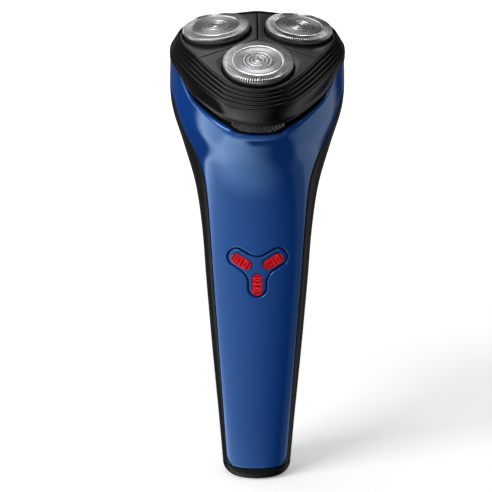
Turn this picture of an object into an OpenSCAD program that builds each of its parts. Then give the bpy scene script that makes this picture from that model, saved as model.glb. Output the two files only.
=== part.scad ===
// Cordless rotary shaver with a tilted three-unit head that hinges open at the back.
// Millimetres. Z runs up the handle, the user side faces -Y, and the foot rests on Z = 0.

/* [Handle] */
// Thickness of the handle shells
wall = 1.6; // [1.4:0.1:1.8]
// Width of the seam between the two handle shells
seam = 0.2; // [0.1:0.05:0.3]
// Depth of the dip in the cover rim around the release button
rim_dip = 5; // [4:0.1:5.4]

/* [Head] */
// Radius of a shaving cap
cap_r = 11.25; // [10.8:0.05:11.4]
// Number of slots in each cap
slot_count = 90; // [60:3:96]
// Outward tilt of each shaving unit in degrees
unit_tilt = 6; // [5:0.5:6.5]
// Number of blades on each cutter
blade_count = 9; // [6:1:12]

/* [Drive] */
// Length of the battery cell
cell_len = 50; // [45:1:51]
// Thickness of the gear teeth blanks
gear_t = 1.8; // [1.4:0.1:2]

/* [Hidden] */
$fn = 64;
tau = 29.2;
head_y = -9;
head_z = 152.6;
unit_a = 15.9;
unit_angles = [-90, 30, 150];
rim_s = 141;
rim_w = -13.5;
rim_rise = 3.6;
foot_s = 4.5;
lip_w = -13;
plate_w = -0.8;
cap_w = 0.75;
hinge_v = 26.2;
hinge_w = -13;
gear_a = 15.5;
gear_m = 0.5;
pinion_z = 24;
gear_z = 38;
spin_gap = 0.05;
button_z = 76.8;
y_angles = [30, 150, 270];
y_half = 2.8;
y_fillet = 3;
grip_w = 3.4;
grip_l = 7.4;
grip_turn = 12;
cell_y = 1.8;
socket_y = 4;

// Spine stations: position, Y of the centre, tilt, half width, front reach, back reach
stations = [
  [0, 0, 0, 12.0, 10.6, 10.6],
  [20, 0, 0, 13.6, 11.5, 11.6],
  [45, 0, 0, 15.8, 12.5, 12.7],
  [70, 0.1, 0.5, 17.8, 13.2, 13.4],
  [90, 0.3, 5, 19.3, 13.9, 13.8],
  [105, 0.4, 12, 21.6, 16.2, 15.1],
  [118, 0.4, 20, 25.8, 20.5, 17.4],
  [130, -0.5, 26, 29.8, 26, 21.1],
  [141, -2.5, 29.2, 30.1, 31.2, 24],
  [147, -3.6, 30.2, 29.1, 33.2, 25.4]
];
// Where the front cover ends: position, angle from the front
parting = [
  [4.5, 39, 0], [7, 53, 0], [12, 55, 0], [40, 49, 0], [70, 46.5, 0],
  [110, 50, 0], [121, 55, 0], [130, 68, 0], [135, 92, 0], [141, 107, 0]
];

function slope(tab, i, c) =
  let (a = max(i - 1, 0), b = min(i + 1, len(tab) - 1))
  (tab[b][c] - tab[a][c]) / (tab[b][0] - tab[a][0]);
function part_of(tab, s, i = 0) =
  i >= len(tab) - 2 || s < tab[i + 1][0] ? i : part_of(tab, s, i + 1);
function at(tab, s, c) =
  let (
    i = part_of(tab, s),
    d = tab[i + 1][0] - tab[i][0],
    u = (s - tab[i][0]) / d,
    u2 = u * u,
    u3 = u2 * u
  )
  (2 * u3 - 3 * u2 + 1) * tab[i][c] + (3 * u2 - 2 * u3) * tab[i + 1][c]
  + (u3 - 2 * u2 + u) * d * slope(tab, i, c) + (u3 - u2) * d * slope(tab, i + 1, c);
function ease(x) =
  let (c = min(max(x, 0), 1))
  c * c * (3 - 2 * c);

// A point of the handle skin whose outline normal points at angle phi, moved inward by off
function skin(s, phi, off) =
  let (
    half = at(stations, s, 3) - off,
    front = at(stations, s, 4) - off,
    back = at(stations, s, 5) - off,
    t = at(stations, s, 2),
    k3 = (front - back) / 2,
    k4 = -0.2,
    k6 = -k3 * (0.1 + 0.09 * ease((s - 118) / 23)),
    k0 = (half + (front + back) / 2) / 2 - k4,
    k2 = (half - (front + back) / 2) / 2 + k6,
    q = phi + 90,
    h = k0 + k2 * cos(2 * phi) + k3 * cos(3 * q) + k4 * cos(4 * phi) + k6 * cos(6 * q),
    g = -2 * k2 * sin(2 * phi) - 3 * k3 * sin(3 * q) - 4 * k4 * sin(4 * phi) - 6 * k6 * sin(6 * q),
    x = h * cos(phi) - g * sin(phi),
    v = h * sin(phi) + g * cos(phi)
  )
  [x, at(stations, s, 1) + v * cos(t), s + v * sin(t)];
function dip(phi) =
  let (a = min(abs(phi + 90), abs(phi - 270)))
  a < 70 ? rim_dip * pow(cos(90 * a / 70), 0.85) : 0;
// How far the joint line between head and handle rises at both sides of the head
function lift(v) = rim_rise * ease((v + 14) / 15) * (1 - ease((v - 12) / 9));
function head_v(p) = (p[1] - head_y) * cos(tau) + (p[2] - head_z) * sin(tau);
function level(p) = (p[2] - head_z) * cos(tau) - (p[1] - head_y) * sin(tau);
function rim_at(phi, n = 4, s = rim_s) =
  let (p = skin(s, phi, 0))
  n == 0 ? s : rim_at(phi, n - 1, s + (rim_w + lift(head_v(p)) - level(p)) / 0.97);
function row_k(u) = u - 0.11 * sin(360 * u);
function shell_ring(k, from_deg, to_deg, n, off_a, off_b) =
  [
    for (side = [0, 1])
      for (j = [0:n])
        let (
          jj = side == 0 ? j : n - j,
          phi = from_deg + (to_deg - from_deg) * jj / n,
          s = foot_s + (rim_at(phi) - dip(phi) - foot_s) * k
        )
        skin(s, phi, side == 0 ? off_a : off_b)
  ];
function row_s(k) = foot_s + (rim_s - foot_s) * k;
function y_reach(a) = a == 270 ? 6.4 : 8.1;
function grip_at(a) = a == 270 ? 5.2 : 6.1;
function flat(list) = [for (row = list) for (p = row) p];

// Closed strip of wall: rings of points, outer half then inner half reversed.
// turned splits its quads the other way, so that two strips meet face to face.
module wall_solid(rings, turned = false) {
  n = len(rings[0]);
  m = len(rings);
  half = n / 2;
  sides = [
    for (i = [0:m - 2])
      for (j = [0:n - 1])
        let (a = i * n + j, b = i * n + (j + 1) % n)
        for (f = turned ? [[a, a + n, b], [b, a + n, b + n]] : [[a, b + n, b], [a, a + n, b + n]])
          f
  ];
  ends = [
    for (e = [0, 1])
      for (j = [0:half - 2])
        let (
          o = e * (m - 1) * n,
          a = o + j,
          b = o + j + 1,
          c = o + n - 2 - j,
          d = o + n - 1 - j
        )
        for (f = e == 0 ? [[a, b, c], [a, c, d]] : [[c, b, a], [d, c, a]])
          f
  ];
  polyhedron(points = flat(rings), faces = concat(sides, ends));
}

// Closed solid through whole rings with flat ends
module ring_solid(rings) {
  n = len(rings[0]);
  m = len(rings);
  sides = [
    for (i = [0:m - 2])
      for (j = [0:n - 1])
        let (a = i * n + j, b = i * n + (j + 1) % n)
        for (f = [[a, b + n, b], [a, a + n, b + n]])
          f
  ];
  low = [for (j = [0:n - 1]) j];
  high = [for (j = [0:n - 1]) m * n - 1 - j];
  polyhedron(points = flat(rings), faces = concat(sides, [low, high]));
}

module cover_wall(off_a, off_b, rows, cols) {
  wall_solid([
    for (i = [0:rows])
      let (k = row_k(i / rows), psi = at(parting, row_s(k), 1))
      shell_ring(k, -90 - psi, -90 + psi, cols, off_a, off_b)
  ]);
}

// Three-lobed outline of the head: radius r round each unit, sides bulging by b
module tri(r, b = 0.01) {
  half = unit_a * sin(60);
  x = (half * half - b * b) / (2 * b);
  beta = atan(half / x);
  polygon([
    for (a = unit_angles)
      for (p = concat(
        [
          for (i = [-12:12])
            let (e = a + (60 - beta) * i / 12)
            unit_a * [cos(a), sin(a)] + r * [cos(e), sin(e)]
        ],
        [
          for (i = [-5:5])
            let (e = a + 60 + beta * i / 6)
            (r + x + b) * [cos(e), sin(e)] - (x - unit_a / 2) * [cos(a + 60), sin(a + 60)]
        ]
      ))
        p
  ]);
}

// Everything under the joint line of the head, across its whole width
module under_lip() {
  in_head()
    translate([-40, 0, 0])
      rotate([90, 0, 90])
        linear_extrude(80)
          polygon(concat(
            [[40, -30], [-40, -30]],
            [for (v = [-40:1.6:40]) [v, lip_w + lift(v)]]
          ));
}

module in_head() {
  translate([0, head_y, head_z])
    rotate([tau, 0, 0])
      children();
}

module in_unit(i) {
  in_head()
    rotate(unit_angles[i])
      translate([unit_a, 0, 0])
        rotate([0, unit_tilt, 0])
          children();
}

module in_cap(i) {
  in_unit(i)
    translate([0, 0, cap_w])
      children();
}

module prism(low, high) {
  translate([0, 0, low])
    linear_extrude(high - low)
      children();
}

// Wedge of a unit, in the unit's own tilted frame, between two levels
module wedge(low, high, gap) {
  prism(low, high)
    polygon([
      [gap / sin(60) - unit_a, 0],
      [gap / sin(60) + 30 - unit_a, -30 * tan(60)],
      [gap / sin(60) + 30 - unit_a, 30 * tan(60)]
    ]);
}

// Y-shaped outline of the power button, with filleted inner corners
module y_outline(grow) {
  offset(r = grow - y_fillet)
    offset(r = y_fillet)
      for (a = y_angles)
        rotate(a) {
          translate([0, -y_half])
            square([y_reach(a), 2 * y_half]);
          translate([y_reach(a), 0])
            circle(y_half);
        }
}

module y_prism(grow) {
  translate([0, 0, button_z])
    rotate([90, 0, 0])
      linear_extrude(30)
        y_outline(grow);
}

module on_button(a) {
  side = a == 270 ? 0 : cos(a) / abs(cos(a));
  normal = -90 + side * grip_turn;
  p = skin(button_z + grip_at(a) * sin(a), normal, 0);
  translate(p)
    rotate([0, 0, side * grip_turn])
      rotate([90, 0, 0])
        rotate(a)
          children();
}

module pill(w, l) {
  square([l - w, w], center = true);
  for (e = [-1, 1])
    translate([e * (l - w) / 2, 0])
      circle(w / 2);
}

module front_cover() {
  color([0.05, 0.16, 0.42])
    resize([0, 0, 0])
      difference() {
        cover_wall(0, wall, 36, 24);
        y_prism(0.5);
      }
}

module back_housing() {
  gap_deg = seam / 12 * 57.3;
  color([0.05, 0.05, 0.055])
    resize([0, 0, 0])
      difference() {
        wall_solid([
          for (i = [0:36])
            let (k = row_k(i / 36), psi = at(parting, row_s(k), 1))
            shell_ring(k, -90 + psi + gap_deg, 270 - psi - gap_deg, 34, 0, wall)
        ], true);
        in_head()
          translate([-5.2, 15, -15])
            cube([10.4, 15, 8]);
      }
}

// Rounding of the foot: fuller at the sides than at the front and back.
function foot_r(phi) = 2.6 + 1.2 * cos(phi) ^ 2;

module base_cap() {
  n = 56;
  function loop(z, off) = [for (j = [0:n - 1]) let (p = skin(4, 360 * j / n, off)) [p[0], p[1], z]];
  function foot_loop(a) = [
    for (j = [0:n - 1])
      let (phi = 360 * j / n, r = foot_r(phi), p = skin(4, phi, r * (1 - cos(a))))
      [p[0], p[1], r * (1 - sin(a))]
  ];
  color([0.05, 0.05, 0.055])
    resize([0, 0, 0])
      difference() {
        ring_solid([
          for (a = [0:15:90]) foot_loop(90 - a),
          for (r = [[4.3, 0], [4.3, wall], [2.2, wall], [2.2, 6]])
            loop(r[0], r[1])
        ]);
        translate([0, socket_y, -1])
          linear_extrude(8)
            pill(5.8, 10.6);
      }
}

module charging_socket() {
  color([0.06, 0.06, 0.065])
    difference() {
      translate([0, socket_y, 2.3])
        linear_extrude(5.9)
          pill(7.4, 12.2);
      translate([0, socket_y, 2])
        linear_extrude(5.2)
          pill(5.8, 10.6);
      for (x = [-3.2, 3.2])
        translate([x, socket_y, 6])
          cylinder(h = 4, r = 0.7);
    }
}

module charging_pins() {
  color([0.80, 0.66, 0.32])
    for (x = [-3.2, 3.2])
      translate([x, socket_y, 1.2]) {
        sphere(0.7);
        cylinder(h = 7.6, r = 0.7);
      }
}

module inner_chassis() {
  color([0.24, 0.24, 0.26]) {
    difference() {
      union() {
        for (e = [-1, 1])
          translate([e * 8.9 - 0.7, -4, 9])
            cube([1.4, 7, 89]);
        translate([-9.6, -4, 9])
          cube([19.2, 8.4, 1.6]);
        translate([-9.6, -5.8, 62])
          cube([19.2, 12, 1.6]);
        translate([-9.6, -5.8, 96.4])
          cube([19.2, 12, 1.6]);
      }
      for (x = [-6, 6])
        translate([x, 1, 90])
          cylinder(h = 20, r = 0.8);
    }
  }
}

module chassis_screws() {
  color([0.62, 0.62, 0.64])
    for (x = [-6, 6])
      translate([x, 1, 92]) {
        cylinder(h = 6, r = 0.8);
        translate([0, 0, 6])
          cylinder(h = 1.1, r = 1.7);
      }
}

module battery_cell() {
  z0 = 11;
  color([0.14, 0.42, 0.28])
    translate([0, cell_y, z0]) {
      cylinder(h = cell_len - 1, r = 7);
      translate([0, 0, cell_len - 1])
        cylinder(h = 0.6, r = 2.4);
    }
}

module battery_tabs() {
  color([0.72, 0.70, 0.66]) {
    translate([-2, -7.1, 10.65])
      cube([4, 9, 0.3]);
    translate([-2, -7.1, 10.65])
      cube([4, 0.3, 16]);
    translate([-2, -5.9, 10.65 + cell_len + 0.05])
      cube([4, 8, 0.25]);
  }
}

module circuit_board() {
  color([0.08, 0.30, 0.16])
    difference() {
      translate([-8, -6.9, 27])
        cube([16, 1, 70]);
      for (x = [-6.2, 6.2], z = [63, 95])
        translate([x, 0, z])
          rotate([90, 0, 0])
            cylinder(h = 12, r = 0.7);
    }
}

module board_parts() {
  color([0.12, 0.12, 0.13]) {
    translate([-3, -8.1, 40])
      cube([6, 1.2, 6]);
    translate([3, -7.9, 52])
      cube([3, 1, 2]);
    translate([-6, -7.9, 55])
      cube([2, 1, 3]);
    translate([-5, -8.4, 90])
      cube([3, 1.5, 3]);
  }
}

module switch_base() {
  color([0.16, 0.16, 0.17])
    difference() {
      translate([-3, -9.3, button_z - 3])
        cube([6, 2.4, 6]);
      translate([0, 0, button_z])
        rotate([90, 0, 0])
          cylinder(h = 20, r = 1.5);
    }
}

module switch_plunger() {
  color([0.75, 0.18, 0.14])
    translate([0, -8.1, button_z])
      rotate([90, 0, 0])
        cylinder(h = 1.9, r = 1.2);
}

module power_button() {
  color([0.05, 0.16, 0.42])
    resize([0, 0, 0])
      difference() {
        union() {
          intersection() {
            cover_wall(0.05, wall + 1, 36, 24);
            y_prism(0);
          }
          intersection() {
            cover_wall(wall + 0.35, wall + 1, 36, 24);
            y_prism(1.4);
          }
          translate([0, -10.3, button_z])
            rotate([90, 0, 0])
              cylinder(h = 2, r = 1.4);
        }
        for (a = y_angles)
          on_button(a)
            translate([0, 0, -0.7])
              linear_extrude(3)
                pill(grip_w + 0.1, grip_l + 0.1);
      }
}

module button_grips() {
  color([0.72, 0.03, 0.05])
    for (a = y_angles)
      on_button(a) {
        translate([0, 0, -0.7])
          linear_extrude(0.95)
            pill(grip_w, grip_l);
        for (i = [-2.5:1:2.5])
          translate([i * 1.1, abs(i) > 2 ? 1.1 : 1.4, 0.2])
            rotate([90, 0, 0])
              cylinder(h = abs(i) > 2 ? 2.2 : 2.8, r = 0.3, $fn = 12);
      }
}

// Tray over the drive: floor, wall, rear hinge knuckle and the wall behind the button
module hair_chamber() {
  color([0.07, 0.07, 0.075])
    in_head()
      difference() {
        union() {
          prism(-14.1, -13.6)
            tri(12.2);
          prism(-13.7, -13.2)
            tri(12.6);
          prism(-13.3, -8.4)
            difference() {
              tri(12.8);
              tri(11.6);
            }
          for (a = unit_angles)
            rotate(a)
              translate([gear_a, 0, -13.3])
                cylinder(h = 1.8, r = 3.2);
          translate([-4.9, 19, -14.1])
            cube([9.8, 6.2, 0.8]);
          translate([-4.9, hinge_v, hinge_w])
            rotate([0, 90, 0])
              cylinder(h = 9.8, r = 1.85);
          intersection() {
            prism(-20.4, -14)
              difference() {
                tri(12.1);
                tri(11.2);
              }
            translate([-30, -40, -30])
              cube([60, 32, 20]);
          }
        }
        for (a = unit_angles)
          rotate(a)
            translate([gear_a, 0, -16])
              cylinder(h = 8, r = 2.1);
        translate([-6, hinge_v, hinge_w])
          rotate([0, 90, 0])
            cylinder(h = 12, r = 0.75);
        translate([-4.2, -31, -17])
          cube([8.4, 6, 2.2]);
        intersection() {
          translate([0, -unit_a, -20])
            difference() {
              cylinder(h = 6.7, r = 16);
              translate([0, 0, -1])
                cylinder(h = 9, r = 12.4);
            }
          translate([-9.2, -40, -30])
            cube([18.4, 20, 20]);
        }
      }
}

module hinge_pin() {
  color([0.66, 0.66, 0.68])
    in_head()
      translate([-9.4, hinge_v, hinge_w])
        rotate([0, 90, 0])
          cylinder(h = 18.8, r = 0.75);
}

module release_button() {
  color([0.045, 0.045, 0.05])
    in_head()
      translate([0, -unit_a, 0])
        difference() {
          union() {
            intersection() {
              difference() {
                translate([0, 0, -16.5])
                  cylinder(h = 2.8, r1 = 14.4, r2 = 15.1);
                translate([0, 0, -20])
                  cylinder(h = 8, r = 13.6);
              }
              rotate([90, 0, 0])
                linear_extrude(30)
                  polygon([
                    [-8.4, -13.7], [8.4, -13.7], [8.4, -15.4],
                    [5.5, -16.5], [-5.5, -16.5], [-8.4, -15.4]
                  ]);
            }
            translate([-3.7, -14, -16.4])
              cube([7.4, 6.4, 1.2]);
          }
          for (i = [-7:7])
            translate([i * 1.3, -20, -15.1])
              rotate([0, 28, 0])
                cube([0.5, 11.1, 6], center = true);
        }
}

module gear_plate() {
  color([0.60, 0.60, 0.60])
    in_head()
      difference() {
        prism(-21, -19.8)
          tri(8);
        for (a = unit_angles)
          rotate(a)
            translate([gear_a, 0, -22])
              cylinder(h = 4, r = 1 + spin_gap);
        translate([0, 0, -22])
          cylinder(h = 4, r = 2.6);
        for (x = [-5.5, 5.5])
          translate([x, 0, -22])
            cylinder(h = 4, r = 0.8);
      }
}

module plate_screws() {
  color([0.70, 0.70, 0.72])
    in_head()
      for (x = [-5.5, 5.5])
        translate([x, 0, -24]) {
          cylinder(h = 4.2, r = 0.8);
          translate([0, 0, 4.2])
            cylinder(h = 0.4, r = 1.5);
        }
}

module motor_can() {
  color([0.66, 0.66, 0.68])
    in_head()
      difference() {
        union() {
          intersection() {
            translate([0, 0, -33])
              cylinder(h = 12, r = 10);
            translate([-11, -6.3, -40])
              cube([22, 12.6, 30]);
          }
          translate([0, 0, -21])
            cylinder(h = 0.8, r = 2.5);
        }
        translate([0, 0, -36])
          cylinder(h = 20, r = 1 + spin_gap);
        for (x = [-5.5, 5.5])
          translate([x, 0, -24])
            cylinder(h = 4, r = 0.8);
      }
}

module motor_end_bell() {
  color([0.15, 0.15, 0.16])
    in_head()
      difference() {
        intersection() {
          translate([0, 0, -35])
            cylinder(h = 2, r = 9.6);
          translate([-11, -6, -40])
            cube([22, 12, 30]);
        }
        translate([0, 0, -34.2])
          cylinder(h = 3, r = 1 + spin_gap);
      }
}

module motor_shaft() {
  color([0.75, 0.75, 0.77])
    in_head()
      translate([0, 0, -34])
        cylinder(h = 17.2, r = 1);
}

// Involute flank points of a gear tooth, measured from the tooth centre line
function flank(z, side) =
  let (
    rb = gear_m * z / 2 * cos(20),
    ra = gear_m * (z + 2) / 2,
    half = 90 / z - 2.6 / z + tan(20) * 57.2958 - 20,
    steps = 4
  )
  [
    for (i = [0:steps])
      let (
        j = side < 0 ? i : steps - i,
        r = max(rb, gear_m * (z - 2.4) / 2) + (ra - max(rb, gear_m * (z - 2.4) / 2)) * j / steps,
        al = acos(rb / r),
        inv = tan(al) * 57.2958 - al,
        ang = side * (half - inv)
      )
      r * [cos(ang), sin(ang)]
  ];

module gear_outline(z) {
  polygon([
    for (k = [0:z - 1])
      let (a = 360 * k / z, root = gear_m * (z - 2.5) / 2, w = 110 / z)
      for (p = concat([root * [cos(-w), sin(-w)]], flank(z, -1), flank(z, 1), [root * [cos(w), sin(w)]]))
        [p[0] * cos(a) - p[1] * sin(a), p[0] * sin(a) + p[1] * cos(a)]
  ]);
}

module motor_pinion() {
  color([0.86, 0.84, 0.78])
    in_head()
      prism(-17.2 - gear_t, -17.2)
        difference() {
          gear_outline(pinion_z);
          circle(1);
        }
}

module drive_gear(i) {
  color([0.86, 0.84, 0.78])
    in_head()
      rotate(unit_angles[i])
        translate([gear_a, 0, 0]) {
          prism(-17.2 - gear_t, -17.2)
            rotate(180 + 180 / gear_z)
              gear_outline(gear_z);
          difference() {
            translate([0, 0, -17.3])
              cylinder(h = 2.4, r = 3.6);
            translate([0, 0, -17.2])
              cylinder(h = 4, r = 2.3, $fn = 6);
          }
          translate([0, 0, -20.9])
            cylinder(h = 2, r = 1);
          translate([0, 0, -19.4])
            cylinder(h = 0.5, r = 2);
        }
}

module drive_spindle(i) {
  color([0.88, 0.88, 0.86])
    in_head()
      rotate(unit_angles[i])
        translate([gear_a, 0, 0]) {
          translate([0, 0, -15.8])
            cylinder(h = 1.9, r = 1.9, $fn = 6);
          translate([0, 0, -14])
            cylinder(h = 7.3, r = 1.5);
          translate([0, 0, -6.8])
            cylinder(h = 2.6, r = 2.4, $fn = 3);
        }
}

module head_frame() {
  color([0.05, 0.05, 0.055])
    difference() {
      union() {
        difference() {
          in_head() {
            prism(lip_w, -6.4)
              tri(16, 1);
            for (i = [0:4])
              prism(-6.5, -1.1 * i - 0.9)
                tri(12.9 + 0.65 * i, 1.5 - 0.1 * i);
          }
          under_lip();
        }
        in_head() {
          for (e = [-1, 1])
            translate([e * 7.3, 0, 0]) {
              translate([-2, hinge_v, hinge_w])
                rotate([0, 90, 0])
                  cylinder(h = 4, r = 1.85);
              translate([-2, 23, -12.7])
                cube([4, 2.6, 2]);
            }
        }
      }
      in_head() {
        prism(-20, -7.6)
          tri(14.2);
        translate([-12, hinge_v, hinge_w])
          rotate([0, 90, 0])
            cylinder(h = 24, r = 0.75 + spin_gap);
        translate([-5.2, hinge_v, hinge_w])
          rotate([0, 90, 0])
            cylinder(h = 10.4, r = 2.2);
      }
      for (i = [0:2]) {
        in_unit(i)
          wedge(plate_w - 1.25, 9, -0.3);
        in_unit(i)
          translate([0, 0, -5])
            cylinder(h = 9, r = cap_r + 0.4);
      }
      for (i = [0:2])
        intersection() {
          in_head()
            prism(-20, 5)
              tri(12.8);
          in_unit(i)
            wedge(-16, plate_w - 2.05, -0.3);
        }
    }
}

module top_plate(i) {
  color([0.16, 0.16, 0.17])
    difference() {
      intersection() {
        in_head()
          prism(-10, 10)
            tri(12.6, 1.5);
        in_unit(i)
          wedge(plate_w - 1.2, plate_w, 0.2);
      }
      in_unit(i)
        translate([0, 0, -5])
          cylinder(h = 9, r = cap_r + 0.35);
    }
}

module shaving_cap(i) {
  color([0.75, 0.76, 0.78])
    in_cap(i)
      difference() {
        rotate_extrude()
          polygon([
            [0, 0.15], [7.1, 0.15], [7.8, 0.5], [cap_r - 0.6, 0.5], [cap_r - 0.6, -4.5],
            [12.2, -4.5], [12.2, -3.9], [cap_r, -3.9], [cap_r, 0.5], [cap_r - 0.35, 0.95],
            [7.9, 0.95], [7.75, 0.65], [7.55, 0.65], [7.45, 0.9], [4.9, 0.9], [4.9, 0.6], [0, 0.6]
          ]);
        for (k = [0:slot_count - 1])
          rotate(360 * k / slot_count)
            translate([8.2, -0.125, 0.3])
              cube([2.4, 0.25, 1]);
      }
}

module cap_badge(i) {
  color([0.58, 0.59, 0.62])
    in_cap(i)
      translate([0, 0, 0.6])
        cylinder(h = 0.35, r = 4.85);
}

module cutter(i) {
  color([0.70, 0.71, 0.73])
    in_cap(i)
      difference() {
        union() {
          translate([0, 0, -3.2])
            difference() {
              cylinder(h = 0.7, r = 10.3);
              translate([0, 0, -1])
                cylinder(h = 3, r = 8.3);
            }
          for (k = [0:blade_count - 1])
            rotate(360 * k / blade_count) {
              translate([8.5, -0.3, -3])
                cube([1.6, 0.6, 3.15]);
              translate([4.6, -0.9, -3.1])
                cube([4.2, 1.8, 0.5]);
            }
          translate([0, 0, -6.4])
            cylinder(h = 4, r = 5.2);
        }
        translate([0, 0, -7])
          cylinder(h = 3, r = 4.3, $fn = 3);
      }
}

module retaining_frame() {
  color([0.82, 0.82, 0.80])
    in_head()
      prism(-7.9, -6.7)
        difference() {
          tri(12.2);
          for (a = unit_angles)
            rotate(a)
              translate([unit_a - 0.45, 0])
                circle(7.4);
          circle(2.6);
        }
}

module retaining_lock() {
  color([0.30, 0.30, 0.32])
    in_head() {
      translate([0, 0, -9.9])
        cylinder(h = 1.7, r = 4.4);
      translate([0, 0, -8.5])
        cylinder(h = 3.1, r = 2.3);
      translate([0, 0, -6.4])
        cylinder(h = 1, r = 4);
      translate([-0.6, -3.8, -10.9])
        cube([1.2, 7.6, 1.1]);
    }
}

front_cover();
back_housing();
base_cap();
charging_socket();
charging_pins();
inner_chassis();
chassis_screws();
battery_cell();
battery_tabs();
circuit_board();
board_parts();
switch_base();
switch_plunger();
power_button();
button_grips();
hair_chamber();
hinge_pin();
release_button();
gear_plate();
plate_screws();
motor_can();
motor_end_bell();
motor_shaft();
motor_pinion();
drive_gear(0);  // drive_gear_1
drive_gear(1);  // drive_gear_2
drive_gear(2);  // drive_gear_3
drive_spindle(0);  // drive_spindle_1
drive_spindle(1);  // drive_spindle_2
drive_spindle(2);  // drive_spindle_3
head_frame();
top_plate(0);  // top_plate_1
top_plate(1);  // top_plate_2
top_plate(2);  // top_plate_3
shaving_cap(0);  // shaving_cap_1
shaving_cap(1);  // shaving_cap_2
shaving_cap(2);  // shaving_cap_3
cap_badge(0);  // cap_badge_1
cap_badge(1);  // cap_badge_2
cap_badge(2);  // cap_badge_3
cutter(0);  // cutter_1
cutter(1);  // cutter_2
cutter(2);  // cutter_3
retaining_frame();
retaining_lock();
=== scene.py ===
"""Looks of a cordless rotary shaver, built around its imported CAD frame.

Sizes here are in millimetres, as in the design, and piece() turns them into metres.
"""

import math

import bmesh
import bpy
import numpy as np
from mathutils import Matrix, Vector
from mathutils.geometry import delaunay_2d_cdt

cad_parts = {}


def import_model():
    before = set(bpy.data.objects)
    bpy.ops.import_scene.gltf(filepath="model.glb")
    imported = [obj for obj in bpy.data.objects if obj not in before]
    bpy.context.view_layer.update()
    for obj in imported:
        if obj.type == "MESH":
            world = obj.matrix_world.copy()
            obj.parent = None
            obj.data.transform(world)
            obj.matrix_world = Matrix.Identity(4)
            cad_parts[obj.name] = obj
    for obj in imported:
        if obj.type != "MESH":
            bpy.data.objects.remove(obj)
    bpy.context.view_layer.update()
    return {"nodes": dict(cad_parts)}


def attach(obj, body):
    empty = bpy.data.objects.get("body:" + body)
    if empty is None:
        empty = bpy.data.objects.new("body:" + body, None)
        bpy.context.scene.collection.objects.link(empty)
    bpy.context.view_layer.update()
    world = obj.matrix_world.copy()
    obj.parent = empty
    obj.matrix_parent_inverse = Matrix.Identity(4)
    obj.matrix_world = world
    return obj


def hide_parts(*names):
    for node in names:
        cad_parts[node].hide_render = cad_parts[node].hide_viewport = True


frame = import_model()
MM = 0.001

# ---------------------------------------------------------------- driving sizes
# The head's plane: forward tilt in degrees, and its middle
HEAD_TILT = 29.2
HEAD_Y, HEAD_Z = -9.0, 152.6
# Shaving units: distance from the middle, directions, and outward tilt
UNIT_A = 15.9
UNIT_ANGLES = (-90.0, 30.0, 150.0)
UNIT_TILT = 6.0
# Heights over the head's plane: top plates, caps, the lip, and the handle's rim below it
PLATE_W, CAP_W = -0.8, 0.75
LIP_W, RIM_W = -13.0, -13.5
# The rim dips under the release button and rises at both sides
RIM_DIP, RIM_RISE = 5.0, 3.6
# Top plates: lobe radius and bulge of the sides. Shaving caps: radius and slots
PLATE_R, PLATE_BULGE = 12.6, 1.5
CAP_R = 11.25
SLOTS = 90
# Hinge of the head, in head coordinates, and the knuckle's radius
HINGE_V, HINGE_W, KNUCKLE_R = 26.2, -13.0, 1.85
# Handle shells: spine positions of rim, neck and foot, wall, and the seam in degrees
RIM_S, NECK_S, FOOT_S = 141.0, 118.0, 4.5
WALL = 1.6
SEAM_DEG = 0.75
# How far the handle's outline leans to a rounded square
SQUARE = -0.2
# Foot: top of the cup, its floor, and the inlet's place, length and end radius
FOOT_TOP, FOOT_FLOOR = 4.3, 2.2
INLET_Y, INLET_LENGTH, INLET_R = 4.0, 10.6, 2.9
# Y-shaped button: middle, half width of an arm, inner fillet, groove round it, and arm lengths
Y_CENTRE, Y_HALF, Y_FILLET = 76.8, 2.8, 3.0
Y_GROOVE = 0.5
Y_REACH = {30: 8.1, 150: 8.1, 270: 6.4}
# Rounding of the pocket's rim, and the patch of the cover round it: heights and half width
POCKET_ROUND = 0.6
PATCH_LOW, PATCH_HIGH, PATCH_HALF = 63.5, 88, 12.9
# Red grips: distance out along the arm, size, and turn with the skin in degrees
GRIP_AT = {30: 6.1, 150: 6.1, 270: 5.2}
GRIP_W, GRIP_L, GRIP_TURN = 3.4, 7.4, 12.0
# The grips turn with the skin, so seen from the front they spread a little less
GRIP_SPREAD = 0.94

# Spine stations of the handle: position, Y, tilt, half width, front reach, back reach
STATIONS = np.array([
    [0, 0, 0, 12.0, 10.6, 10.6],
    [20, 0, 0, 13.6, 11.5, 11.6],
    [45, 0, 0, 15.8, 12.5, 12.7],
    [70, 0.1, 0.5, 17.8, 13.2, 13.4],
    [90, 0.3, 5, 19.3, 13.9, 13.8],
    [105, 0.4, 12, 21.6, 16.2, 15.1],
    [118, 0.4, 20, 25.8, 20.5, 17.4],
    [130, -0.5, 26, 29.8, 26, 21.1],
    [141, -2.5, 29.2, 30.1, 31.2, 24],
    [147, -3.6, 30.2, 29.1, 33.2, 25.4],
])
# Where the front cover ends: position, angle from the front
PARTING = np.array([
    [4.5, 39], [7, 53], [12, 55], [40, 49], [70, 46.5],
    [110, 50], [121, 55], [130, 68], [135, 92], [141, 107],
])


# ---------------------------------------------------------------- handle skin
def cos_sin(degrees):
    return math.cos(math.radians(degrees)), math.sin(math.radians(degrees))


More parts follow.
